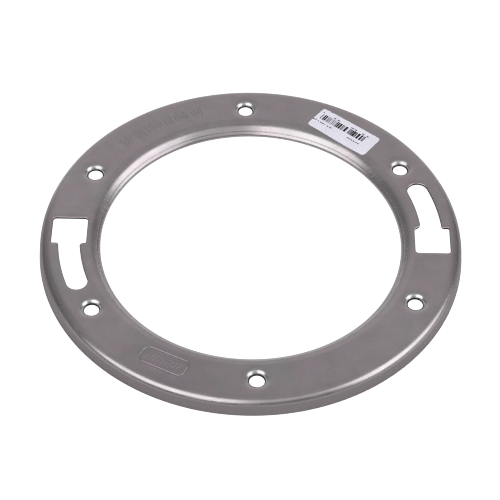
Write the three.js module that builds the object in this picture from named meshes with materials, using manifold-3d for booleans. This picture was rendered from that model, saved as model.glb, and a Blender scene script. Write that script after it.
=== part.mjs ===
// Closet flange ring: one stamped sheet-steel ring that clamps a toilet bowl
// to the floor over the soil pipe, and the adhesive barcode label on it.
//
// Millimetres, +Z up. The origin is the ring's centre in the plane of the
// lower rim of the outer skirt, where the ring stands on the floor.

import * as THREE from 'three';
import { mergeVertices } from 'three/addons/utils/BufferGeometryUtils.js';
import Module from 'manifold-3d';

const wasm = await Module();
wasm.setup();

// ---------------------------------------------------------------- dimensions
const SHEET = 1.2;                 // sheet thickness
const HEIGHT = 7.9;                // lower rim of the skirt to the top face

const OUTER_D = 177.8;             // 7 in over the rim of the outer skirt
const SKIRT_FLARE = 0.38;          // how far the skirt opens out by its rim
const OUTER_BEND_R = 4.0;          // outside radius, top face to skirt

const INNER_D = 126.6;             // clear bore inside the inner lip, nearly 5 in
const LIP_SLOPE_DEG = 46;          // the lip slopes down into the bore like a cone
const LIP_BEND_R = 6.0;            // outside radius, top face to slope
const LIP_CURL_R = 1.7;            // outside radius, slope to the upright edge
const LIP_CORNER_Z = 3.62;         // where the slope's line meets the bore
const LIP_END_Z = 2.8;             // lower edge of the inner lip

const BOLT_CIRCLE_D = 152.4;       // 6 in circle of screw holes and slots

const SCREW_COUNT = 6;
const SCREW_FIRST_DEG = -90;       // the first screw hole is on -Y
const SCREW_HOLE_D = 6.5;          // clears a 1/4 in screw
const DIMPLE_DEPTH = 1.9;          // drop of the hole's upper edge
const HOLE_WALL = 0.8;             // sheet left at the hole, thinned by the pressing
const DIMPLE_R = 6.4;              // where the dimple meets the top face

const SLOT_TURN_DEG = -2.65;       // slot pattern against the screw pattern
const SLOT_W = 8.9;                // narrow, curved part of each slot
const SLOT_TIP_DEG = 24.35;        // round tip, from the slot's own X axis
const KEY_RADIAL = 14.7;           // wide entry of each slot, along the radius
const KEY_Y0 = -8.2;               // wide entry, low side
const KEY_Y1 = 6.15;               // wide entry, side of the curved part
const KEY_CORNER_R = 1.4;          // corners on the low side
const KEY_SHOULDER_R = 0.7;        // corners on the side of the curved part
const SHOULDER_NOSE_R = 1.2;       // where a shoulder rounds into the curved part

const LABEL_L = 31.0;              // long side of the label
const LABEL_W = 12.8;
const LABEL_T = 0.15;
const LABEL_LIFT = 0.02;           // adhesive film under the label
const LABEL_CORNER_R = 1.5;
const LABEL_X = 42.85;             // centre of the label on the top face
const LABEL_Y = 60.43;
const LABEL_TURN_DEG = -40.4;

const RING_STEPS = 84;             // facets round the ring
const HOLE_STEPS = 20;             // facets round a screw hole
const BEND_STEPS = 4;              // facets across a bend

const deg = THREE.MathUtils.degToRad;

// -------------------------------------------------------------------- solids
// A closed geometry as a solid, with its faces turned outwards.
function solid(geometry) {
  let g = geometry.index ? geometry.toNonIndexed() : geometry.clone();
  g.deleteAttribute('normal');
  g.deleteAttribute('uv');
  g = mergeVertices(g, 1e-4);
  const pos = g.attributes.position.array;
  const idx = g.index.array;
  const tri = [];
  let volume = 0;
  for (let i = 0; i < idx.length; i += 3) {
    const [a, b, c] = [idx[i], idx[i + 1], idx[i + 2]];
    if (a === b || b === c || a === c) continue;
    tri.push(a, b, c);
    const A = pos.subarray(3 * a, 3 * a + 3);
    const B = pos.subarray(3 * b, 3 * b + 3);
    const C = pos.subarray(3 * c, 3 * c + 3);
    volume += A[0] * (B[1] * C[2] - B[2] * C[1])
            - A[1] * (B[0] * C[2] - B[2] * C[0])
            + A[2] * (B[0] * C[1] - B[1] * C[0]);
  }
  if (volume < 0) {
    for (let i = 0; i < tri.length; i += 3) {
      [tri[i + 1], tri[i + 2]] = [tri[i + 2], tri[i + 1]];
    }
  }
  return new wasm.Manifold(new wasm.Mesh({
    numProp: 3,
    vertProperties: new Float32Array(pos),
    triVerts: new Uint32Array(tri),
  }));
}

function geometryOf(manifold) {
  const m = manifold.getMesh();
  const g = new THREE.BufferGeometry();
  const n = m.numProp;
  const pos = new Float32Array((m.vertProperties.length / n) * 3);
  for (let i = 0; i < pos.length / 3; i++) {
    pos[3 * i] = m.vertProperties[n * i];
    pos[3 * i + 1] = m.vertProperties[n * i + 1];
    pos[3 * i + 2] = m.vertProperties[n * i + 2];
  }
  g.setAttribute('position', new THREE.BufferAttribute(pos, 3));
  g.setIndex(new THREE.BufferAttribute(new Uint32Array(m.triVerts), 1));
  g.computeVertexNormals();
  return g;
}

// A profile of [radius, height] pairs spun about +Z.
function lathe(profile, steps) {
  const pts = profile.map(([r, z]) => new THREE.Vector2(r, z));
  return new THREE.LatheGeometry(pts, steps).rotateX(Math.PI / 2);
}

// Points of an arc in the radius-height plane, both ends included.
function arc(cr, cz, r, fromDeg, toDeg, steps = BEND_STEPS) {
  const out = [];
  for (let i = 0; i <= steps; i++) {
    const a = deg(fromDeg + ((toDeg - fromDeg) * i) / steps);
    out.push([cr + r * Math.cos(a), cz + r * Math.sin(a)]);
  }
  return out;
}

// ---------------------------------------------------------------- ring shell
const RIM_R = OUTER_D / 2;
const SKIRT_TOP_R = RIM_R - SKIRT_FLARE;
const OUTER_BEND_C = SKIRT_TOP_R - OUTER_BEND_R;
const OUTER_BEND_Z = HEIGHT - OUTER_BEND_R;

const LIP_R = INNER_D / 2;
const slope = deg(LIP_SLOPE_DEG);
const CURL_C = LIP_R + LIP_CURL_R;
const CURL_Z = LIP_CORNER_Z - LIP_CURL_R * Math.tan((Math.PI / 2 - slope) / 2);
const LIP_BEND_C = LIP_R + (HEIGHT - LIP_CORNER_Z) / Math.tan(slope)
                 + LIP_BEND_R * Math.tan(slope / 2);
const LIP_BEND_Z = HEIGHT - LIP_BEND_R;

const ringProfile = [
  [RIM_R, 0],
  ...arc(OUTER_BEND_C, OUTER_BEND_Z, OUTER_BEND_R, 0, 90),
  ...arc(LIP_BEND_C, LIP_BEND_Z, LIP_BEND_R, 90, 90 + LIP_SLOPE_DEG, 3),
  ...arc(CURL_C, CURL_Z, LIP_CURL_R, 90 + LIP_SLOPE_DEG, 180, 3),
  [LIP_R, LIP_END_Z],
  [LIP_R + SHEET, LIP_END_Z],
  ...arc(CURL_C, CURL_Z, LIP_CURL_R - SHEET, 180, 90 + LIP_SLOPE_DEG, 2),
  ...arc(LIP_BEND_C, LIP_BEND_Z, LIP_BEND_R - SHEET, 90 + LIP_SLOPE_DEG, 90, 3),
  ...arc(OUTER_BEND_C, OUTER_BEND_Z, OUTER_BEND_R - SHEET, 90, 0, 3),
  [RIM_R - SHEET, 0],
  [RIM_R, 0],
];
let ring = solid(lathe(ringProfile, RING_STEPS));

// -------------------------------------------------------------- screw dimples
// Each screw hole stands at the bottom of a shallow round dimple: the top face
// rolls over at DIMPLE_R and runs down to the hole's upper edge, and the sheet
// bulges by as much underneath.
const HOLE_R = SCREW_HOLE_D / 2;
const EDGE_Z = HEIGHT - DIMPLE_DEPTH;
const drop = [
  [DIMPLE_R, 0], [5.8, 0.10], [5.1, 0.45], [4.4, 0.98], [3.8, 1.48],
  [HOLE_R, DIMPLE_DEPTH],
];
const dimpleVoid = lathe([
  [0, EDGE_Z], ...drop.slice().reverse().map(([r, d]) => [r, HEIGHT - d]),
  [DIMPLE_R + 0.6, HEIGHT + 0.05], [DIMPLE_R + 0.6, HEIGHT + 2], [0, HEIGHT + 2], [0, EDGE_Z],
], HOLE_STEPS);
const dimpleBoss = lathe([
  [0, HEIGHT - SHEET / 2], [DIMPLE_R, HEIGHT - SHEET / 2],
  [DIMPLE_R, HEIGHT - SHEET - 0.04], [5.3, HEIGHT - SHEET - 0.25],
  [4.6, HEIGHT - SHEET - 0.75], [4.05, EDGE_Z - HOLE_WALL + 0.2],
  [3.7, EDGE_Z - HOLE_WALL], [0, EDGE_Z - HOLE_WALL], [0, HEIGHT - SHEET / 2],
], HOLE_STEPS);
const screwHole = new THREE.CylinderGeometry(HOLE_R, HOLE_R, HEIGHT + 6, HOLE_STEPS)
  .rotateX(Math.PI / 2).translate(0, 0, HEIGHT / 2);

for (let k = 0; k < SCREW_COUNT; k++) {
  const a = deg(SCREW_FIRST_DEG + (360 / SCREW_COUNT) * k);
  const at = (g) => solid(g.clone().translate(
    (BOLT_CIRCLE_D / 2) * Math.cos(a), (BOLT_CIRCLE_D / 2) * Math.sin(a), 0));
  ring = ring.add(at(dimpleBoss)).subtract(at(dimpleVoid)).subtract(at(screwHole));
}

// -------------------------------------------------------------- keyhole slots
// A closet bolt's head drops through the square entry, and its shank slides
// along the curved part. Both slots run anticlockwise from their entry.
function slotOutline() {
  const R = BOLT_CIRCLE_D / 2;
  const rIn = R - SLOT_W / 2;
  const rOut = R + SLOT_W / 2;
  const x1 = R - KEY_RADIAL / 2;
  const x2 = R + KEY_RADIAL / 2;
  const pts = [];
  const round = (cx, cy, r, from, to, n = 3) => {
    for (let i = 0; i <= n; i++) {
      const a = deg(from + ((to - from) * i) / n);
      pts.push([cx + r * Math.cos(a), cy + r * Math.sin(a)]);
    }
  };
  const wall = (r, fromDeg, toDeg, n = 8) => {
    for (let i = 1; i < n; i++) {
      const a = deg(fromDeg + ((toDeg - fromDeg) * i) / n);
      pts.push([r * Math.cos(a), r * Math.sin(a)]);
    }
  };
  const c = KEY_CORNER_R;
  const s = KEY_SHOULDER_R;
  const n = SHOULDER_NOSE_R;
  const tip = deg(SLOT_TIP_DEG) - Math.asin(SLOT_W / 2 / R);
  const tipDeg = THREE.MathUtils.radToDeg(tip);

  round(x1 + c, KEY_Y0 + c, c, 180, 270);
  round(x2 - c, KEY_Y0 + c, c, 270, 360);
  round(x2 - s, KEY_Y1 - s, s, 0, 90, 2);
  // outer shoulder: its nose touches the shoulder line and the outer wall
  const noseY = KEY_Y1 + n;
  const outX = Math.sqrt((rOut + n) ** 2 - noseY ** 2);
  const outDeg = THREE.MathUtils.radToDeg(Math.atan2(noseY, outX));
  round(outX, noseY, n, 270, 180 + outDeg);
  wall(rOut, outDeg, tipDeg);
  round(R * Math.cos(tip), R * Math.sin(tip), SLOT_W / 2, tipDeg, tipDeg + 180, 10);
  // inner shoulder, the same way round
  const inX = Math.sqrt((rIn - n) ** 2 - noseY ** 2);
  const inDeg = THREE.MathUtils.radToDeg(Math.atan2(noseY, inX));
  wall(rIn, tipDeg, inDeg);
  round(inX, noseY, n, inDeg, -90);
  round(x1 + s, KEY_Y1 - s, s, 90, 180, 2);
  return pts.map(([x, y]) => new THREE.Vector2(x, y));
}
const slotCutter = new THREE.ExtrudeGeometry(new THREE.Shape(slotOutline()), {
  depth: HEIGHT, bevelEnabled: false, steps: 1,
}).translate(0, 0, HEIGHT / 2);

for (const turn of [0, 180]) {
  ring = ring.subtract(solid(slotCutter.clone().rotateZ(deg(SLOT_TURN_DEG + turn))));
}

// --------------------------------------------------------------------- label
function labelOutline() {
  const x = LABEL_L / 2;
  const y = LABEL_W / 2;
  const r = LABEL_CORNER_R;
  const pts = [];
  for (const [cx, cy, from] of [
    [x - r, y - r, 0], [-x + r, y - r, 90], [-x + r, -y + r, 180], [x - r, -y + r, 270],
  ]) {
    for (let i = 0; i <= 4; i++) {
      const a = deg(from + (90 * i) / 4);
      pts.push(new THREE.Vector2(cx + r * Math.cos(a), cy + r * Math.sin(a)));
    }
  }
  return pts;
}
const label = solid(new THREE.ExtrudeGeometry(new THREE.Shape(labelOutline()), {
  depth: LABEL_T, bevelEnabled: false, steps: 1,
}));

// --------------------------------------------------------------------- scene
const steel = new THREE.MeshStandardMaterial({
  name: 'stainless_sheet', color: 0x827e81, roughness: 0.38, metalness: 1.0,
});
const paper = new THREE.MeshStandardMaterial({
  name: 'label_paper', color: 0xdad8e2, roughness: 0.55, metalness: 0.0,
});

const flange = new THREE.Group();

const ringMesh = new THREE.Mesh(geometryOf(ring), steel);
ringMesh.name = 'flange_ring';
flange.add(ringMesh);

const labelMesh = new THREE.Mesh(geometryOf(label), paper);
labelMesh.name = 'barcode_label';
labelMesh.position.set(LABEL_X, LABEL_Y, HEIGHT + LABEL_LIFT);
labelMesh.rotation.z = deg(LABEL_TURN_DEG);
flange.add(labelMesh);

export default flange;
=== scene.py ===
import math

import bmesh
import bpy
import numpy as np
from mathutils import Matrix, Vector
from mathutils.geometry import delaunay_2d_cdt


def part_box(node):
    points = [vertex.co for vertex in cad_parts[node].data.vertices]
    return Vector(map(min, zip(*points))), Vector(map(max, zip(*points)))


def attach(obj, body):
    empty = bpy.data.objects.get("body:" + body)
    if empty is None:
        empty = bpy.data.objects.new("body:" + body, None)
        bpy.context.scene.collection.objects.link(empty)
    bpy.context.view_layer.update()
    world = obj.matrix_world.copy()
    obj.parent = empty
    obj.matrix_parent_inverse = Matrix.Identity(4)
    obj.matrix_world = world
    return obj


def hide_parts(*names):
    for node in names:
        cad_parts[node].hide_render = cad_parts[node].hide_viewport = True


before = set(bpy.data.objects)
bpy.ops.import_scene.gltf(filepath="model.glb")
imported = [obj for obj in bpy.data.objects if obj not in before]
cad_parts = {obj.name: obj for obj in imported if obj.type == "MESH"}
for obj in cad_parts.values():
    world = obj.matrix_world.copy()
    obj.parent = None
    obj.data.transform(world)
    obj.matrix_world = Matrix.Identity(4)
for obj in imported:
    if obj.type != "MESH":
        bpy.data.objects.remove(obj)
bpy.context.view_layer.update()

# ------------------------------------------------------------------ dimensions
# Millimetres, in the row frame. The height and the outside radius come from the
# frame; the rest is the sheet-metal section of the same ring.
H = round(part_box("flange_ring")[1].z * 1000, 3)
RIM_R = round(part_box("flange_ring")[1].x * 1000, 2)
S = 1.2                          # sheet
FLARE = 0.38
OB_R = 4.0                       # outer bend
OB_C = RIM_R - FLARE - OB_R
OB_Z = H - OB_R
LIP_R = 63.3
SLOPE = math.radians(46.0)
LB_R = 6.0                       # inner bend, top face to slope
CURL_R = 1.7
CORNER_Z = 3.62
LIP_END = 2.8
LB_C = LIP_R + (H - CORNER_Z) / math.tan(SLOPE) + LB_R * math.tan(SLOPE / 2)
LB_Z = H - LB_R
CURL_C = LIP_R + CURL_R
CURL_Z = CORNER_Z - CURL_R * math.tan((math.pi / 2 - SLOPE) / 2)
BC = 76.2                        # bolt circle radius
HOLE_R = 3.25
DEPTH = 1.9                      # dimple
HOLE_WALL = 0.8
DIM_R = 7.2                      # where the dimple dies out in the top face
SLOT_TURN = math.radians(-2.65)
N = 360                          # steps round the ring
R_IN = 67.9                      # between the lathed lip and the flat web


def plate_top(r):
    u = np.clip(LB_C - np.asarray(r, float), 0, LB_R)
    return LB_Z + np.sqrt(LB_R ** 2 - u ** 2)


def plate_bot(r):
    u = np.clip(LB_C - np.asarray(r, float), 0, LB_R - S)
    return LB_Z + np.sqrt((LB_R - S) ** 2 - u ** 2)


def smooth(a, b, x):
    t = np.clip((np.asarray(x, float) - a) / (b - a), 0, 1)
    return t * t * (3 - 2 * t)


# ------------------------------------------------------------- mesh collection
class Builder:
    """Collects quads and triangles, then welds the points they share."""

    def __init__(self):
        self.v = []
        self.f = []
        self.m = []
        self.n = 0

    def points(self, p):
        p = np.asarray(p, float).reshape(-1, 3)
        i = np.arange(self.n, self.n + len(p))
        self.v.append(p)
        self.n += len(p)
        return i

    def faces(self, faces, mat=0):
        for f in faces:
            self.f.append(tuple(int(i) for i in f))
            self.m.append(mat)

    def strip(self, rows, closed=True, mats=None):
        """Quads between loops of points that all have the same length."""
        ids = [self.points(r) for r in rows]
        k = len(rows[0])
        last = k if closed else k - 1
        for j in range(len(ids) - 1):
            a, b = ids[j], ids[j + 1]
            mat = mats[j] if mats is not None else 0
            for i in range(last):
                n = (i + 1) % k
                self.f.append((int(a[i]), int(a[n]), int(b[n]), int(b[i])))
                self.m.append(mat)

    def mesh(self, name):
        v = np.concatenate(self.v)
        key = np.round(v * 5e3).astype(np.int64)
        _, first, inv = np.unique(key, axis=0, return_index=True, return_inverse=True)
        inv = inv.reshape(-1)
        faces, mats = [], []
        for f, m in zip(self.f, self.m):
            g = []
            for i in f:
                j = int(inv[i])
                if not g or g[-1] != j:
                    g.append(j)
            if len(g) > 1 and g[0] == g[-1]:
                g.pop()
            if len(set(g)) == len(g) and len(g) >= 3:
                faces.append(g)
                mats.append(m)
        me = bpy.data.meshes.new(name)
        me.from_pydata((v[first] / 1000).tolist(), [], faces)
        me.polygons.foreach_set("material_index", mats)
        bm = bmesh.new()
        bm.from_mesh(me)
        bmesh.ops.recalc_face_normals(bm, faces=bm.faces)
        if bm.calc_volume(signed=True) < 0:
            bmesh.ops.reverse_faces(bm, faces=bm.faces)
        open_edges = sum(1 for e in bm.edges if len(e.link_faces) != 2)
        bm.to_mesh(me)
        bm.free()
        print("MESH", name, len(me.vertices), "points", len(me.polygons), "faces", open_edges, "open edges")
        return me


def circle(r, z, n=N, cx=0.0, cy=0.0, turn=0.0):
    a = 2 * np.pi * np.arange(n) / n + turn
    return np.column_stack([cx + r * np.cos(a), cy + r * np.sin(a), np.full(n, float(z))])


def arc(cr, cz, r, a0, a1, n):
    a = np.radians(np.linspace(a0, a1, n + 1))
    return [(cr + r * math.cos(t), cz + r * math.sin(t)) for t in a]


def inside(poly, p):
    """Which of the points p lie in the polygon."""
    x, y = p[:, 0], p[:, 1]
    x0, y0 = poly[:, 0], poly[:, 1]
    x1, y1 = np.roll(x0, -1), np.roll(y0, -1)
    hit = np.zeros(len(p), bool)
    for i in range(len(poly)):
        c = (y0[i] > y) != (y1[i] > y)
        with np.errstate(divide="ignore", invalid="ignore"):
            xi = (x1[i] - x0[i]) * (y - y0[i]) / (y1[i] - y0[i]) + x0[i]
        hit ^= c & (x < xi)
    return hit


def dist_to(poly, p):
    """Distance of the points p to the closed polyline."""
    a = poly
    b = np.roll(poly, -1, 0)
    best = np.full(len(p), 1e9)
    for i in range(len(a)):
        d = b[i] - a[i]
        t = np.clip(((p - a[i]) @ d) / max(d @ d, 1e-12), 0, 1)
        q = a[i] + t[:, None] * d
        best = np.minimum(best, np.hypot(*(p - q).T))
    return best


# ---------------------------------------------------------------- slot outline
def slot_path(slant):
    w, x1, x2 = 8.9, BC - 7.35, BC + 7.35
    y0, y1 = -8.2, 6.15
    c, s, n = 1.4, 0.7, 1.2
    r_in, r_out = BC - w / 2, BC + w / 2
    tip = math.radians(24.35) - math.asin(w / 2 / BC)
    P, Q = [], []

    def rnd(cx, cy, r, a0, a1, k, sign=1):
        for i in range(k + 1):
            a = a0 + (a1 - a0) * i / k
            P.append((cx + r * math.cos(a), cy + r * math.sin(a)))
            Q.append((sign * math.cos(a), sign * math.sin(a)))

    def line(ax, ay, bx, by, nx, ny):
        k = max(2, int(math.hypot(bx - ax, by - ay) / 0.45))
        for i in range(1, k):
            P.append((ax + (bx - ax) * i / k, ay + (by - ay) * i / k))
            Q.append((nx, ny))

    def wall(r, a0, a1, sign):
        k = int(abs(a1 - a0) * r / 0.45)
        for i in range(1, k):
            a = a0 + (a1 - a0) * i / k
            P.append((r * math.cos(a), r * math.sin(a)))
            Q.append((sign * math.cos(a), sign * math.sin(a)))

    hp = math.pi / 2
    rnd(x1 + c, y0 + c, c, 2 * hp, 3 * hp, 8)
    line(x1 + c, y0, x2 - c, y0, 0, -1)
    rnd(x2 - c, y0 + c, c, 3 * hp, 4 * hp, 8)
    line(x2, y0 + c, x2, y1 - s, 1, 0)
    rnd(x2 - s, y1 - s, s, 0, hp, 6)
    ny = y1 + n
    ox = math.sqrt((r_out + n) ** 2 - ny ** 2)
    oa = math.atan2(ny, ox)
    line(x2 - s, y1, ox, y1, 0, 1)
    rnd(ox, ny, n, 3 * hp, math.pi + oa, 7, -1)
    wall(r_out, oa, tip, 1)
    rnd(BC * math.cos(tip), BC * math.sin(tip), w / 2, tip, tip + math.pi, 26)
    ix = math.sqrt((r_in - n) ** 2 - ny ** 2)
    ia = math.atan2(ny, ix)
    wall(r_in, tip, ia, -1)
    rnd(ix, ny, n, ia, -hp, 7, -1)
    line(ix, y1, x1 + s, y1, 0, 1)
    rnd(x1 + s, y1 - s, s, hp, 2 * hp, 6)
    line(x1, y1 - s, x1, y0 + c, -1, 0)
    P, Q = np.array(P), np.array(Q)
    # one slot's inner shoulder was struck a little out of square
    k = smooth(73.2, 71.2, P[:, 0]) * smooth(3.6, 5.2, P[:, 1]) * smooth(9.2, 7.6, P[:, 1])
    P[:, 1] += slant * k * (P[:, 0] - 70.2)
    return P, Q


def turned(p, a):
    c, s = math.cos(a), math.sin(a)
    return np.column_stack([p[:, 0] * c - p[:, 1] * s, p[:, 0] * s + p[:, 1] * c])


SLOTS = []
for slant, turn in ((0.62, SLOT_TURN), (0.12, SLOT_TURN + math.pi)):
    P, Q = slot_path(slant)
    SLOTS.append((turned(P, turn), turned(Q, turn)))
HOLES = [(BC * math.cos(math.radians(-90 + 60 * k)), BC * math.sin(math.radians(-90 + 60 * k)))
         for k in range(6)]

# ------------------------------------------------------- marks pressed in the top
# Plain generic tool marks: rows of radial ticks and a hatched frame.
DEG = math.pi / 180


def mark_depth(x, y):
    r, a = np.hypot(x, y), np.degrees(np.arctan2(y, x)) % 360
    d = np.zeros_like(r)

    def stroke(a0, r0, r1, half, depth):
        da = (a - a0) * DEG * r
        rr = np.clip(r, r0, r1)
        dist = np.hypot(da, r - rr)
        return depth * (1 - smooth(half * 0.35, half, dist))

    for a0, r0, r1, half, depth in TICKS:
        d = np.maximum(d, stroke(a0, r0, r1, half, depth))
    # hatched frame
    fx, fy = 76.3 * math.cos(241.4 * DEG), 76.3 * math.sin(241.4 * DEG)
    t = (241.4 - 270) * DEG
    u = (x - fx) * math.cos(t) + (y - fy) * math.sin(t)
    v = -(x - fx) * math.sin(t) + (y - fy) * math.cos(t)
    q = np.hypot(np.clip(np.abs(u) - 7.3, 0, None), np.clip(np.abs(v) - 1.4, 0, None)) - 2.6
    d = np.maximum(d, 0.30 * (1 - smooth(0.12, 0.50, np.abs(q))))
    for k in range(-4, 5):
        du = np.abs((u - 1.7 * k) * 0.93 - v * 0.36)
        dv = np.clip(np.abs(v) - 1.7, 0, None)
        d = np.maximum(d, 0.22 * (1 - smooth(0.10, 0.46, np.hypot(du, dv))))
    return d


TICKS = []
a = 105.2
for group, n in enumerate((4, 5, 3, 6, 4, 5)):
    for i in range(n):
        long = (i + group) % 2 == 0
        TICKS.append((a, 74.6 if long else 75.7, 79.4 if long else 78.3, 0.55, 0.24))
        a += 1.06
    a += 0.55
a = -70.0 % 360
for group, n in enumerate((3, 4, 3, 4)):
    for i in range(n):
        lo = 75.2 + 0.9 * ((i + group) % 2)
        TICKS.append((a, lo, lo + 2.4, 0.36, 0.09))
        a += 1.25
    a += 0.9


def mark_grid():
    """Extra points where the marks are, close enough together to show them."""
    out = []
    for a0, a1, r0, r1 in ((104.3, 135.4, 73.9, 80.0), (289.2, 310.6, 74.4, 79.4)):
        for r in np.arange(r0, r1, 0.2):
            k = np.radians(np.arange(a0, a1, 0.2 / 77 / DEG))
            out.append(np.column_stack([r * np.cos(k), r * np.sin(k)]))
    fx, fy = 76.3 * math.cos(241.4 * DEG), 76.3 * math.sin(241.4 * DEG)
    t = (241.4 - 270) * DEG
    u, v = np.meshgrid(np.arange(-10.6, 10.61, 0.2), np.arange(-4.6, 4.61, 0.2))
    u, v = u.ravel(), v.ravel()
    out.append(np.column_stack([fx + u * math.cos(t) - v * math.sin(t),
                                fy + u * math.sin(t) + v * math.cos(t)]))
    return np.concatenate(out)


# ---------------------------------------------------------------- the flat web
def web(b, z_of, slot_off, r_hole, grid, refine):
    """The flat web between the lathed lip and the lathed outer bend, with its
    slots and round holes left open. grid is the spacing of inner points."""
    outer = circle(OB_C, 0)[:, :2]
    inner = circle(R_IN, 0)[:, :2]
    loops = [outer, inner]
    for P, Q in SLOTS:
        loops.append(P + slot_off * Q)
    for cx, cy in HOLES:
        loops.append(circle(r_hole, 0, 64, cx, cy)[:, :2])
    pts, edges, n = [], [], 0
    owner = []
    for k, lp in enumerate(loops):
        pts.append(lp)
        m = len(lp)
        edges += [(n + i, n + (i + 1) % m) for i in range(m)]
        owner += [k] * m
        n += m
    # inner points
    free = []
    for r in (68.15, 68.4, 68.65, 68.92, 69.2, 69.5, LB_C, LB_C + 0.35):
        free.append(circle(r, 0, N, 0, 0, 0.5 * DEG)[:, :2])
    free.append(circle(OB_C - 0.35, 0, N, 0, 0, 0.5 * DEG)[:, :2])
    row = 0
    for r in np.arange(LB_C + 1.2, OB_C - 0.8, grid):
        k = int(2 * math.pi * r / grid)
        free.append(circle(r, 0, k, 0, 0, row * 0.5 * 2 * math.pi / k)[:, :2])
        row += 1
    free = np.concatenate(free)
    if refine:
        fine = mark_grid()
        d = np.ones(len(free), bool)
        r, a = np.hypot(*free.T), np.degrees(np.arctan2(free[:, 1], free[:, 0])) % 360
        for a0, a1, r0, r1 in ((104.3, 135.4, 73.9, 80.0), (289.2, 310.6, 74.4, 79.4)):
            d &= ~((a > a0 - 0.1) & (a < a1 + 0.1) & (r > r0 - 0.15) & (r < r1 + 0.15))
        fx, fy = 76.3 * math.cos(241.4 * DEG), 76.3 * math.sin(241.4 * DEG)
        t = (241.4 - 270) * DEG
        u = (free[:, 0] - fx) * math.cos(t) + (free[:, 1] - fy) * math.sin(t)
        v = -(free[:, 0] - fx) * math.sin(t) + (free[:, 1] - fy) * math.cos(t)
        d &= ~((np.abs(u) < 10.8) & (np.abs(v) < 4.8))
        free = np.concatenate([free[d], fine])
    keep = np.ones(len(free), bool)
    for k, lp in enumerate(loops[2:4]):
        near = np.hypot(*(free - lp.mean(0)).T) < 26
        q = free[near]
        bad = inside(lp, q) | (dist_to(lp, q) < 0.14)
        idx = np.where(near)[0][bad]
        keep[idx] = False
    for cx, cy in HOLES:
        keep &= np.hypot(free[:, 0] - cx, free[:, 1] - cy) > r_hole + 0.15
    free = free[keep]
    allp = np.concatenate(pts + [free])
    res = delaunay_2d_cdt([Vector(p) for p in allp], edges, [], 0, 1e-7, True)
    ov, faces, orig = res[0], res[2], res[3]
    xy = np.array([allp[o[0]] if o else (v.x, v.y) for v, o in zip(ov, orig)])
    own = np.array([owner[o[0]] if o and o[0] < n else -1 for o in orig])
    good = []
    cen = np.array([xy[list(f)].mean(0) for f in faces])
    slot_in = [inside(loops[2], cen), inside(loops[3], cen)]
    for i, f in enumerate(faces):
        o = own[list(f)]
        if o[0] == o[1] == o[2] and o[0] >= 0:
            if o[0] == 1 or o[0] >= 4:
                continue
        if slot_in[0][i] or slot_in[1][i]:
            continue
        good.append(f)
    z = z_of(xy)
    ids = b.points(np.column_stack([xy, z]))
    b.faces([[ids[i] for i in f] for f in good])


def top_z(xy):
    r = np.hypot(*xy.T)
    return plate_top(r) - mark_depth(xy[:, 0], xy[:, 1])


def bot_z(xy):
    return plate_bot(np.hypot(*xy.T))


ring = Builder()
web(ring, top_z, 0.55, DIM_R, 2.4, True)
web(ring, bot_z, 0.08, DIM_R, 3.2, False)

# outer bend, skirt and rim
prof = arc(OB_C, OB_Z, OB_R, 90, 0, 14)
n_bend = len(prof)
prof += [(RIM_R - FLARE * z / OB_Z, z) for z in (3.0, 2.1, 1.2, 0.5, 0.2)]
n_skirt = len(prof)
prof += [(RIM_R - 0.03, 0.08), (RIM_R - 0.10, 0.02), (RIM_R - 0.2, 0.0),
         (RIM_R - 1.05, 0.0), (RIM_R - 1.14, 0.03), (RIM_R - 1.19, 0.12)]
n_rim = len(prof)
prof += [(RIM_R - S - FLARE * z / OB_Z, z) for z in (0.6, 1.6, 2.8)]
prof += arc(OB_C, OB_Z, OB_R - S, 0, 90, 10)
mats = [0] * (n_skirt - 1) + [1] * (n_rim - n_skirt) + [0] * (len(prof) - n_rim)
ring.strip([circle(r, z) for r, z in prof], mats=mats)

# inner lip: bend, cone with the line the second draw left, curl and sheared edge
a_in = 90 + math.degrees(math.asin((LB_C - R_IN) / LB_R))
prof = arc(LB_C, LB_Z, LB_R, a_in, 90 + math.degrees(SLOPE), 10)
e_r, e_z = prof[-1]
c0 = (CURL_C + CURL_R * math.cos(math.radians(136)), CURL_Z + CURL_R * math.sin(math.radians(136)))
L = math.hypot(c0[0] - e_r, c0[1] - e_z)
dr, dz = (c0[0] - e_r) / L, (c0[1] - e_z) / L
nr, nz = dz, -dr                     # out of the top side of the slope
if nz < 0:
    nr, nz = -nr, -nz


def on_cone(s, out=0.0):
    return (e_r + dr * s + nr * out, e_z + dz * s + nz * out)


GROOVE_S = L - 1.11              # along the slope from the end of the bend
for s, o in ((0.35, 0), (0.75, 0.01), (1.15, 0.015), (GROOVE_S - 0.28, 0.02), (GROOVE_S - 0.14, 0.0),
             (GROOVE_S, -0.05), (GROOVE_S + 0.14, -0.012), (GROOVE_S + 0.28, 0.018),
             (GROOVE_S + 0.5, 0.026), (GROOVE_S + 0.8, 0.013)):
    prof.append(on_cone(s, o))
prof += arc(CURL_C, CURL_Z, CURL_R, 136, 180, 7)
n_lip = len(prof)
prof += [(LIP_R + 0.02, LIP_END + 0.07), (LIP_R + 0.08, LIP_END + 0.02), (LIP_R + 0.18, LIP_END),
         (LIP_R + S - 0.12, LIP_END), (LIP_R + S - 0.04, LIP_END + 0.03), (LIP_R + S, LIP_END + 0.1)]
n_rim = len(prof)
prof += arc(CURL_C, CURL_Z + 0.02, CURL_R - S, 180, 136, 4)
prof += arc(LB_C, LB_Z, LB_R - S, 136, 90 + math.degrees(math.asin((LB_C - R_IN) / (LB_R - S))), 7)
mats = [0] * (n_lip - 1) + [1] * (n_rim - n_lip) + [0] * (len(prof) - n_rim)
ring.strip([circle(r, z) for r, z in prof], mats=mats)

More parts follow.
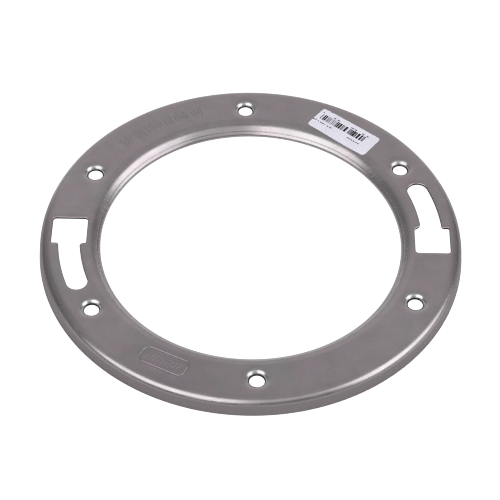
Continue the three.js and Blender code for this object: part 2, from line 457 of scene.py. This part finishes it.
# slots: the sheet rolls over into the punched wall
ROLL = ((0.55, 0.0), (0.5, 0.014), (0.43, 0.037), (0.36, 0.07), (0.26, 0.11), (0.18, 0.16), (0.115, 0.22),
        (0.065, 0.27), (0.03, 0.31), (0.008, 0.34), (0.0, 0.37))
for P, Q in SLOTS:
    rows, mats = [], []
    for off, drop in ROLL:
        p = P + off * Q
        z = plate_top(np.hypot(*p.T)) - drop
        rows.append(np.column_stack([p, z]))
    top = rows[-1][:, 2]
    bot = plate_bot(np.hypot(*P.T))
    for k in (0.35, 0.7):
        p = P + 0.03 * k * Q
        rows.append(np.column_stack([p, top + (bot + 0.06 - top) * k]))
    p = P + 0.03 * Q
    rows.append(np.column_stack([p, bot + 0.06]))
    p = P + 0.08 * Q
    rows.append(np.column_stack([p, plate_bot(np.hypot(*p.T))]))
    mats = [0] * (len(ROLL) - 1) + [1] * 4
    ring.strip(rows, mats=mats)

# dimples and their screw holes
DROP = ((DIM_R, 0.0), (6.6, 0.03), (6.0, 0.08), (5.5, 0.165), (5.1, 0.27), (4.8, 0.37), (4.5, 0.50), (4.3, 0.63),
        (4.1, 0.785), (3.9, 0.965), (3.72, 1.15), (3.56, 1.335), (3.43, 1.51), (3.34, 1.66), (3.28, 1.82),
        (HOLE_R, 1.98))
BOSS = ((HOLE_R - 0.12, DEPTH + HOLE_WALL - 0.12), (HOLE_R + 0.1, DEPTH + HOLE_WALL), (3.62, DEPTH + HOLE_WALL - 0.02),
        (3.85, 2.56), (4.1, 2.36), (4.35, 2.12), (4.6, 1.9), (4.9, 1.68), (5.25, 1.48), (5.65, 1.33),
        (6.1, 1.26), (6.6, 1.22), (DIM_R, S))
for k, (cx, cy) in enumerate(HOLES):
    rows = [circle(r, H - d, 64, cx, cy) for r, d in DROP]
    rows += [circle(HOLE_R - 0.10, H - 2.10, 64, cx, cy), circle(HOLE_R - 0.16, H - 2.33, 64, cx, cy)]
    rows += [circle(r, H - d, 64, cx, cy) for r, d in BOSS]
    # the rim of the dimple meets the web at the web's own height
    for row, f in ((rows[0], plate_top), (rows[-1], plate_bot)):
        row[:, 2] = f(np.hypot(row[:, 0], row[:, 1]))
    mats = [0] * (len(DROP) - 1) + [1] * 4 + [0] * (len(BOSS) - 2)
    ring.strip(rows, mats=mats)

ring_me = ring.mesh("flange_ring_sheet")


# ---------------------------------------------------------------------- label
LX, LY, LT = 42.85, 60.43, -40.4 * DEG
LL, LW = 15.5, 6.4
LABEL_T = 0.12


def label_xy(st):
    c, s = math.cos(LT), math.sin(LT)
    return np.column_stack([LX + st[:, 0] * c - st[:, 1] * s, LY + st[:, 0] * s + st[:, 1] * c])


def wrinkle(st):
    s, t = st[:, 0], st[:, 1]
    w = 0.30 * np.exp(-((s + 11.5) / 0.9) ** 2) * smooth(2.6, 6.2, t)
    w += 0.20 * np.exp(-((s + 13.9) / 0.6) ** 2) * smooth(3.6, 6.2, t)
    w += 0.10 * smooth(-14.0, -15.5, s) * smooth(3.0, 0.0, np.abs(t + 1.8))
    w += 0.06 * smooth(-5.0, -6.4, t)
    w += 0.015 * np.sin(s * 0.9 + 0.4 * t) + 0.012 * np.sin(s * 0.37 - 1.1 * t + 1.0)
    return w + 0.03


def label_outline():
    c = 1.5
    pts = []
    for cx, cy, a0 in ((LL - c, LW - c, 0), (-LL + c, LW - c, 90), (-LL + c, -LW + c, 180), (LL - c, -LW + c, 270)):
        for i in range(11):
            a = (a0 + 9 * i) * DEG
            pts.append((cx + c * math.cos(a), cy + c * math.sin(a)))
        if a0 == 0:
            for s in np.arange(LL - c - 0.4, -LL + c + 0.1, -0.4):
                pts.append((s, LW))
        elif a0 == 90:
            pts += [(-LL, t) for t in np.arange(LW - c - 0.5, -1.4, -0.5)]
            pts += [(-LL, -1.45), (-14.6, -1.66), (-13.3, -1.95), (-14.6, -2.16), (-LL, -2.40)]
            pts += [(-LL, t) for t in np.arange(-2.8, -LW + c + 0.1, -0.5)]
        elif a0 == 180:
            pts += [(s, -LW) for s in np.arange(-LL + c + 0.4, LL - c - 0.1, 0.4)]
        else:
            pts += [(LL, t) for t in np.arange(-LW + c + 0.5, LW - c - 0.1, 0.5)]
    p = np.array(pts)
    top = smooth(4.5, 6.2, p[:, 1])
    p[:, 1] -= top * (0.5 * np.exp(-((p[:, 0] + 11.1) / 0.8) ** 2) + 0.45 * np.exp(-((p[:, 0] + 13.7) / 0.7) ** 2))
    return p


BARS = [  # from, to along the label: plain stripes that stand for a bar code
    (-13.35, -12.95), (-12.3, -11.62), (-11.45, -10.75), (-10.3, -10.02), (-9.8, -9.52), (-9.3, -9.02),
    (-8.75, -8.47), (-7.9, -7.66), (-7.35, -7.11), (-6.75, -6.51), (-6.15, -5.91), (-5.45, -4.88), (-4.72, -3.95),
    (-3.72, -2.78), (-2.48, -2.2), (-2.04, -1.76), (-1.6, -1.32), (-0.78, 0.32), (0.5, 0.62), (1.45, 1.85),
    (2.0, 2.32), (2.45, 2.86), (2.98, 3.72), (3.82, 4.78), (4.88, 5.2), (5.3, 5.7), (6.08, 7.18), (7.68, 8.58),
    (9.0, 9.36), (9.48, 9.76), (9.86, 10.02)]
DASHES = [(-14.4, -13.8, -1.35), (-13.0, -12.4, -1.85), (-11.7, -10.9, -1.85), (-10.6, -9.6, -1.85), (-9.3, -8.9, -1.9),
          (-8.0, -7.2, -1.9), (-6.6, -5.4, -1.9), (3.3, 4.1, -2.05), (4.3, 5.0, -2.1), (5.3, 6.2, -2.1),
          (6.5, 7.4, -2.1), (7.9, 8.6, -2.15), (9.0, 9.8, -2.15),
          (-14.1, -13.6, 4.0), (-8.2, -7.2, 4.05), (-6.4, -5.0, 4.1), (1.1, 2.6, 4.05), (3.1, 4.3, 4.05),
          (7.2, 8.3, 4.0), (9.6, 10.6, 3.95)]


def build_label():
    out = label_outline()
    m = len(out)
    pts = [tuple(p) for p in out]
    edges = [(i, (i + 1) % m) for i in range(m)]
    rects = []

    def rect(s0, s1, t0, t1, mat):
        rects.append((s0, s1, t0, t1, mat))
        k = max(1, int((t1 - t0) / 0.8))
        q = [(s0, t0 + (t1 - t0) * i / k) for i in range(k)] + [(s0, t1)]
        q += [(s1, t1 - (t1 - t0) * i / k) for i in range(k)] + [(s1, t0)]
        n0 = len(pts)
        pts.extend(q)
        edges.extend((n0 + i, n0 + (i + 1) % len(q)) for i in range(len(q)))

    for s0, s1 in BARS:
        rect(s0, s1, -0.12, 3.3, 1)
    for s0, s1, t in DASHES:
        rect(s0, s1, t - 0.29, t + 0.29, 2)
    g = np.array([(s, t) for s in np.arange(-15, 15.1, 0.6) for t in np.arange(-6, 6.1, 0.6)])
    keep = inside(out, g) & (dist_to(out, g) > 0.2)
    for s0, s1, t0, t1, _ in rects:
        keep &= ~((g[:, 0] > s0 - 0.12) & (g[:, 0] < s1 + 0.12) & (g[:, 1] > t0 - 0.12) & (g[:, 1] < t1 + 0.12))
    allp = np.concatenate([np.array(pts), g[keep]])
    res = delaunay_2d_cdt([Vector(p) for p in allp], edges, [], 0, 1e-6, True)
    ov, faces, orig = res[0], res[2], res[3]
    st = np.array([allp[o[0]] if o else (v.x, v.y) for v, o in zip(ov, orig)])
    cen = np.array([st[list(f)].mean(0) for f in faces])
    ok = inside(out, cen)
    mat = np.zeros(len(faces), int)
    for s0, s1, t0, t1, k in rects:
        mat[(cen[:, 0] > s0) & (cen[:, 0] < s1) & (cen[:, 1] > t0) & (cen[:, 1] < t1)] = k
    b = Builder()
    xy = label_xy(st)
    base = plate_top(np.hypot(*xy.T)) + wrinkle(st)
    top = b.points(np.column_stack([xy, base + LABEL_T]))
    bot = b.points(np.column_stack([xy, base]))
    for f, o, k in zip(faces, ok, mat):
        if o:
            b.faces([[top[i] for i in f]], int(k))
            b.faces([[bot[i] for i in reversed(f)]], 0)
    oxy = label_xy(out)
    base = plate_top(np.hypot(*oxy.T)) + wrinkle(out)
    b.strip([np.column_stack([oxy, base + LABEL_T]), np.column_stack([oxy, base])])
    return b.mesh("barcode_label_paper")


label_me = build_label()


# ------------------------------------------------------------------- materials
def lin(*rgb):
    return tuple(c / 12.92 if c <= 0.04045 else ((c + 0.055) / 1.055) ** 2.4 for c in rgb) + (1.0,)


class Nodes:
    def __init__(self, name):
        self.mat = bpy.data.materials.new(name)
        self.mat.use_nodes = True
        self.t = self.mat.node_tree
        self.t.nodes.clear()
        self.out = self.t.nodes.new("ShaderNodeOutputMaterial")
        self.bsdf = self.t.nodes.new("ShaderNodeBsdfPrincipled")
        self.link(self.bsdf.outputs[0], self.out.inputs[0])
        self.coord = self.t.nodes.new("ShaderNodeTexCoord").outputs["Object"]

    def link(self, a, b):
        self.t.links.new(a, b)

    def noise(self, scale, detail=3.0, rough=0.5, stretch=None, turn=0.0, shift=(0, 0, 0)):
        vec = self.coord
        if stretch is not None or turn or any(shift):
            m = self.t.nodes.new("ShaderNodeMapping")
            m.inputs["Scale"].default_value = stretch or (1, 1, 1)
            m.inputs["Rotation"].default_value = (0, 0, turn)
            m.inputs["Location"].default_value = shift
            self.link(vec, m.inputs["Vector"])
            vec = m.outputs[0]
        n = self.t.nodes.new("ShaderNodeTexNoise")
        n.inputs["Scale"].default_value = scale
        n.inputs["Detail"].default_value = detail
        n.inputs["Roughness"].default_value = rough
        self.link(vec, n.inputs["Vector"])
        return n.outputs["Fac"]

    def ramp(self, fac, stops):
        r = self.t.nodes.new("ShaderNodeValToRGB")
        e = r.color_ramp.elements
        while len(e) < len(stops):
            e.new(0.5)
        for k, (p, c) in enumerate(stops):
            e[k].position = p
            e[k].color = c if len(c) == 4 else (*c, 1)
        self.link(fac, r.inputs[0])
        return r.outputs[0]

    def span(self, fac, a, b, lo, hi):
        m = self.t.nodes.new("ShaderNodeMapRange")
        m.interpolation_type = "SMOOTHSTEP"
        for k, v in enumerate((a, b, lo, hi)):
            m.inputs[k + 1].default_value = v
        self.link(fac, m.inputs[0])
        return m.outputs[0]

    def math(self, op, a, b):
        m = self.t.nodes.new("ShaderNodeMath")
        m.operation = op
        for k, v in enumerate((a, b)):
            if hasattr(v, "links"):
                self.link(v, m.inputs[k])
            else:
                m.inputs[k].default_value = v
        return m.outputs[0]

    def mix(self, fac, a, b, mode="MIX"):
        m = self.t.nodes.new("ShaderNodeMix")
        m.data_type = "RGBA"
        m.blend_type = mode
        if hasattr(fac, "links"):
            self.link(fac, m.inputs[0])
        else:
            m.inputs[0].default_value = fac
        for k, v in ((6, a), (7, b)):
            if hasattr(v, "links"):
                self.link(v, m.inputs[k])
            else:
                m.inputs[k].default_value = v
        return m.outputs[2]

    def attr(self, name):
        n = self.t.nodes.new("ShaderNodeAttribute")
        n.attribute_name = name
        return n.outputs["Fac"]

    def bump(self, height, dist, strength=1.0, under=None):
        n = self.t.nodes.new("ShaderNodeBump")
        n.inputs["Strength"].default_value = strength
        n.inputs["Distance"].default_value = dist
        self.link(height, n.inputs["Height"])
        if under is not None:
            self.link(under, n.inputs["Normal"])
        return n.outputs[0]


def steel_material():
    m = Nodes("stainless_sheet")
    pink = (0.650, 0.530, 0.582, 1)
    grey = (0.575, 0.525, 0.550, 1)
    green = (0.560, 0.560, 0.553, 1)
    patch = m.noise(52, 2.0, 0.5)
    col = m.ramp(patch, [(0.36, grey), (0.50, pink), (0.62, green)])
    cloud = m.noise(120, 3.0, 0.6, shift=(0.3, 0.1, 0))
    col = m.mix(0.55, col, m.ramp(cloud, [(0.30, (0.505, 0.445, 0.472)), (0.55, (0.590, 0.520, 0.555)), (0.75, (0.640, 0.575, 0.605))]), "MIX")
    grain = m.noise(2600, 2.0, 0.6)
    col = m.mix(0.10, col, m.ramp(grain, [(0.3, (0.30, 0.30, 0.30)), (0.7, (0.85, 0.85, 0.85))]), "MIX")
    # multiplies in broad zones of the sheet's own tone, plus painted shade on the left and right of the outer bend and
    # on part of the inner lip
    col = m.mix(1.0, col, m.ramp(m.attr("tone_and_painted_shade"), [(0.0, (0.62, 0.61, 0.625)), (0.5, (0.97, 0.97, 0.97)), (0.6, (1.04, 1.04, 1.04))]), "MULTIPLY")
    col = m.mix(m.math("MULTIPLY", m.attr("burnish"), 0.35), col, (0.595, 0.575, 0.585, 1))
    # painted highlight: the dimples lightened and made neutral so their reflections read white
    col = m.mix(m.math("MULTIPLY", m.attr("painted_dimple_highlight"), 0.75), col, (0.73, 0.72, 0.725, 1))
    # painted shade: the skirt darkened, standing in for the shadowed floor it reflects
    col = m.mix(m.math("MULTIPLY", m.attr("painted_skirt_shade"), 0.92), col, (0.345, 0.305, 0.322, 1))
    m.link(col, m.bsdf.inputs["Base Color"])
    m.bsdf.inputs["Metallic"].default_value = 1.0
    rough = m.span(m.noise(85, 3.0, 0.55, shift=(0, 0.7, 0)), 0.3, 0.7, 0.33, 0.42)
    scr = m.noise(16, 3.0, 0.6, stretch=(3.0, 95.0, 20.0), turn=0.5)
    rough = m.math("ADD", rough, m.span(scr, 0.52, 0.75, 0.0, 0.10))
    rough = m.math("SUBTRACT", rough, m.math("MULTIPLY", m.attr("burnish"), 0.12))
    m.link(rough, m.bsdf.inputs["Roughness"])
    peel = m.bump(m.noise(900, 2.0, 0.5), 0.0000012, 1.0)
    wavy = m.bump(m.noise(60, 1.5, 0.4, shift=(0.2, 0, 0)), 0.00004, 1.0, peel)
    fine = m.bump(scr, 0.0000012, 1.0, wavy)
    m.link(fine, m.bsdf.inputs["Normal"])
    return m.mat


def sheared_edge_shade_material():
    m = Nodes("sheared_edge_painted_shade")
    n = m.noise(900, 3.0, 0.6, stretch=(1, 1, 0.25))
    # sheared walls and rims: the rough fracture finish is real, the near-black colour is painted shade for the dark
    # these walls reflect
    m.link(m.ramp(n, [(0.3, (0.07, 0.064, 0.068)), (0.7, (0.14, 0.13, 0.135))]), m.bsdf.inputs["Base Color"])
    m.bsdf.inputs["Metallic"].default_value = 1.0
    m.link(m.span(n, 0.3, 0.7, 0.48, 0.66), m.bsdf.inputs["Roughness"])
    m.link(m.bump(n, 0.00002, 0.6), m.bsdf.inputs["Normal"])
    return m.mat


def paper_material():
    m = Nodes("label_paper")
    n = m.noise(160, 3.0, 0.55)
    f = m.noise(3500, 2.0, 0.6)
    col = m.ramp(n, [(0.35, (0.69, 0.68, 0.765)), (0.65, (0.76, 0.75, 0.835))])
    col = m.mix(0.04, col, m.ramp(f, [(0.3, (0.6, 0.6, 0.64)), (0.7, (0.95, 0.95, 1.0))]))
    m.link(col, m.bsdf.inputs["Base Color"])
    m.link(m.span(f, 0.3, 0.7, 0.42, 0.55), m.bsdf.inputs["Roughness"])
    m.link(m.bump(f, 0.00002, 0.3), m.bsdf.inputs["Normal"])
    return m.mat


def ink_material(name, dark, light):
    m = Nodes(name)
    f = m.noise(2200, 2.0, 0.6)
    m.link(m.ramp(f, [(0.32, dark), (0.7, light)]), m.bsdf.inputs["Base Color"])
    m.link(m.span(f, 0.3, 0.7, 0.38, 0.5), m.bsdf.inputs["Roughness"])
    return m.mat


def piece(me, name, node, mats):
    ob = bpy.data.objects.new(name, me)
    bpy.context.scene.collection.objects.link(ob)
    for m in mats:
        me.materials.append(m)
    me.shade_smooth()
    me.set_sharp_from_angle(angle=math.radians(42))
    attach(ob, "root")
    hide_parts(node)
    return ob


# burnish: 1 on the bends, the slope and the dimples, 0 on the flat web
co = np.zeros(len(ring_me.vertices) * 3)
ring_me.vertices.foreach_get("co", co)
co = co.reshape(-1, 3) * 1000
rr = np.hypot(co[:, 0], co[:, 1])
burn = np.maximum(smooth(OB_C + 0.6, OB_C + 2.2, rr) * smooth(0.6, 3.5, co[:, 2]), smooth(68.2, 66.8, rr))
for cx, cy in HOLES:
    burn = np.maximum(burn, smooth(6.3, 5.2, np.hypot(co[:, 0] - cx, co[:, 1] - cy)))
# painted highlight: a mask round each screw hole where the dimple colour is lifted toward white
painted_dimple_highlight = np.zeros(len(co))
for cx, cy in HOLES:
    painted_dimple_highlight = np.maximum(painted_dimple_highlight, smooth(5.4, 4.3, np.hypot(co[:, 0] - cx, co[:, 1] - cy)))
att = ring_me.attributes.new("painted_dimple_highlight", "FLOAT", "POINT")
att.data.foreach_set("value", painted_dimple_highlight.astype(np.float32))
att = ring_me.attributes.new("burnish", "FLOAT", "POINT")
att.data.foreach_set("value", burn.astype(np.float32))
ang = np.degrees(np.arctan2(co[:, 1], co[:, 0])) % 360
# colour gain round the ring: first broad lighter and darker zones across the web, then painted shade
tone_and_painted_shade = np.full(len(co), 0.5)
for a0, wide, gain in ((243, 13, -0.14), (262, 12, -0.04), (160, 14, 0.08), (321, 20, 0.10), (75, 16, -0.02), (222, 9, 0.06)):
    d = (ang - a0 + 180) % 360 - 180
    tone_and_painted_shade += gain * np.exp(-(d / wide) ** 2)
# painted shade: the outer bend and skirt darkened on the left and the right, standing in for the dark they reflect
# there
for a0, wide, gain in ((192, 24, -0.44), (355, 14, -0.36)):
    d = (ang - a0 + 180) % 360 - 180
    tone_and_painted_shade += gain * np.exp(-(np.abs(d) / wide) ** 4) * smooth(83.5, 85.8, rr)
# painted shade: the inner lip darkened around 125 degrees, standing in for a darker reflection there
d = (ang - 125.5 + 180) % 360 - 180
tone_and_painted_shade -= 0.36 * np.exp(-(np.abs(d) / 15) ** 4) * smooth(66.5, 64.0, rr)
att = ring_me.attributes.new("tone_and_painted_shade", "FLOAT", "POINT")
att.data.foreach_set("value", tone_and_painted_shade.astype(np.float32))
# painted shade mask on the skirt, reaching higher up the bend on the left and the right
early = 1.15 * smooth(0.84, 0.985, np.abs(np.cos(ang * DEG)))
painted_skirt_shade = smooth(OB_C + 3.2 - early, OB_C + 3.9 - 0.8 * early, rr) * smooth(6.2 + 1.2 * early, 4.8 + 1.2 * early, co[:, 2])
att = ring_me.attributes.new("painted_skirt_shade", "FLOAT", "POINT")
att.data.foreach_set("value", painted_skirt_shade.astype(np.float32))

sheet_ob = piece(ring_me, "flange_ring_sheet", "flange_ring",
                 [steel_material(), sheared_edge_shade_material()])
label_ob = piece(label_me, "barcode_label_paper", "barcode_label",
                 [paper_material(), ink_material("label_ink", (0.006, 0.006, 0.008), (0.020, 0.020, 0.024)),
                  ink_material("label_ink_small", (0.05, 0.05, 0.06), (0.13, 0.13, 0.15))])

# --------------------------------------------------------------------- staging
bpy.ops.mesh.primitive_plane_add(size=6, location=(0, 0, -0.0004))
floor = bpy.context.object
floor.name = "studio_floor"
fm = bpy.data.materials.new("studio_floor")
fm.use_nodes = True
t = fm.node_tree
t.nodes.clear()
o = t.nodes.new("ShaderNodeOutputMaterial")
mixs = t.nodes.new("ShaderNodeMixShader")
lp = t.nodes.new("ShaderNodeLightPath")
dif = t.nodes.new("ShaderNodeBsdfDiffuse")
dif.inputs[0].default_value = (0.54, 0.54, 0.54, 1)
em = t.nodes.new("ShaderNodeEmission")
em.inputs[0].default_value = (1, 1, 1, 1)
em.inputs[1].default_value = 1.05
t.links.new(lp.outputs["Is Camera Ray"], mixs.inputs[0])
t.links.new(dif.outputs[0], mixs.inputs[1])
t.links.new(em.outputs[0], mixs.inputs[2])
t.links.new(mixs.outputs[0], o.inputs[0])
floor.data.materials.append(fm)

# soft studio light: a dim room with wide soft boxes to the left and the right
world = bpy.data.worlds.new("studio")
bpy.context.scene.world = world
world.use_nodes = True
w = world.node_tree
w.nodes.clear()
wo = w.nodes.new("ShaderNodeOutputWorld")
bg = w.nodes.new("ShaderNodeBackground")
w.links.new(bg.outputs[0], wo.inputs[0])
tc = w.nodes.new("ShaderNodeTexCoord")


sep = w.nodes.new("ShaderNodeSeparateXYZ")
w.links.new(tc.outputs["Generated"], sep.inputs[0])


def wmath(op, a, b=None):
    m = w.nodes.new("ShaderNodeMath")
    m.operation = op
    for k, v in enumerate((a, b)):
        if v is None:
            continue
        if hasattr(v, "links"):
            w.links.new(v, m.inputs[k])
        else:
            m.inputs[k].default_value = v
    return m.outputs[0]


def wspan(x, a, b, lo=0.0, hi=1.0):
    m = w.nodes.new("ShaderNodeMapRange")
    m.interpolation_type = "SMOOTHSTEP"
    for k, v in enumerate((a, b, lo, hi)):
        m.inputs[k + 1].default_value = v
    w.links.new(x, m.inputs[0])
    return m.outputs[0]


# how far round a direction is from the front (-Y), positive to the right, in degrees
AROUND = wmath("MULTIPLY", wmath("ARCTAN2", sep.outputs[0], wmath("MULTIPLY", sep.outputs[1], -1.0)), 180 / math.pi)
HIGH = wmath("MULTIPLY", wmath("ARCSINE", sep.outputs[2]), 180 / math.pi)


def softbox(a0, a1, e0, e1, gain, soft_a=7.0, soft_e=5.0):
    """A soft-edged light panel between two bearings and two elevations."""
    v = wmath("MULTIPLY", wspan(AROUND, a0 - soft_a, a0 + soft_a), wspan(AROUND, a1 - soft_a, a1 + soft_a, 1.0, 0.0))
    v = wmath("MULTIPLY", v, wspan(HIGH, e0 - soft_e, e0 + soft_e))
    v = wmath("MULTIPLY", v, wspan(HIGH, e1 - soft_e, e1 + soft_e, 1.0, 0.0))
    return wmath("MULTIPLY", v, gain)


def lobe(direction, inner, outer, gain):
    d = w.nodes.new("ShaderNodeVectorMath")
    d.operation = "DOT_PRODUCT"
    d.inputs[1].default_value = Vector(direction).normalized()
    w.links.new(tc.outputs["Generated"], d.inputs[0])
    return wspan(d.outputs["Value"], math.cos(math.radians(outer)), math.cos(math.radians(inner)), 0.0, gain)


LIGHTS = [
    softbox(-81, -58, 21, 52, 1.50, 7, 6),    # left, the end beside the ring
    softbox(-58, -7, 21, 60, 1.50, 7, 5),     # left, the end near the camera
    softbox(48, 90, 12, 52, 1.48, 7, 5),      # right, the end near the camera
    softbox(90, 103, 12, 39, 1.44, 7, 6),     # right, the end beside the ring
    softbox(-12, 50, 32, 59, 0.38, 7, 7),     # the gap over the camera
    lobe((0, 0.40, 0.917), 25, 60, 0.14),     # the ceiling towards the back
    lobe((0, 1.0, 0.10), 20, 48, 0.22),       # the bright backdrop
]
total = 0.20
for s in LIGHTS:
    total = wmath("ADD", s, total)
w.links.new(total, bg.inputs["Strength"])
bg.inputs["Color"].default_value = (1, 1, 1, 1)

# a wide soft fill from overhead that the metal doesn't mirror
ld = bpy.data.lights.new("fill", "AREA")
ld.shape = "DISK"
ld.size = 1.6
ld.energy = 14
lo = bpy.data.objects.new("fill", ld)
lo.location = (0.1, -0.2, 1.6)
lo.rotation_euler = (Vector((0, 0, 0)) - lo.location).to_track_quat("-Z", "Y").to_euler()
lo.visible_glossy = False
bpy.context.scene.collection.objects.link(lo)

# ---------------------------------------------------------------------- camera
EL, ROLL, TURN = math.radians(48.1905), math.radians(0.8972), math.radians(-2.4551)
back = Vector((0, -math.cos(EL), math.sin(EL)))
right = Vector((1, 0, 0))
up = back.cross(right)
r2 = math.cos(ROLL) * right + math.sin(ROLL) * up
u2 = -math.sin(ROLL) * right + math.cos(ROLL) * up
pos = (back * 822.0141 + r2 * -0.302 + u2 * -1.1728) / 1000
spin = Matrix.Rotation(TURN, 3, "Z")
r2, u2, back, pos = spin @ r2, spin @ u2, spin @ back, spin @ pos
cam_data = bpy.data.cameras.new("camera")
cam_data.sensor_width = 36.0
cam_data.lens = 1945.0572 / 500 * 36.0
cam_data.clip_start = 0.01
cam_data.clip_end = 50
cam = bpy.data.objects.new("camera", cam_data)
bpy.context.scene.collection.objects.link(cam)
cam.matrix_world = Matrix((
    (r2.x, u2.x, back.x, pos.x),
    (r2.y, u2.y, back.y, pos.y),
    (r2.z, u2.z, back.z, pos.z),
    (0, 0, 0, 1)))
bpy.context.scene.camera = cam
bpy.context.scene.view_settings.view_transform = "Standard"
bpy.context.scene.cycles.filter_width = 1.15
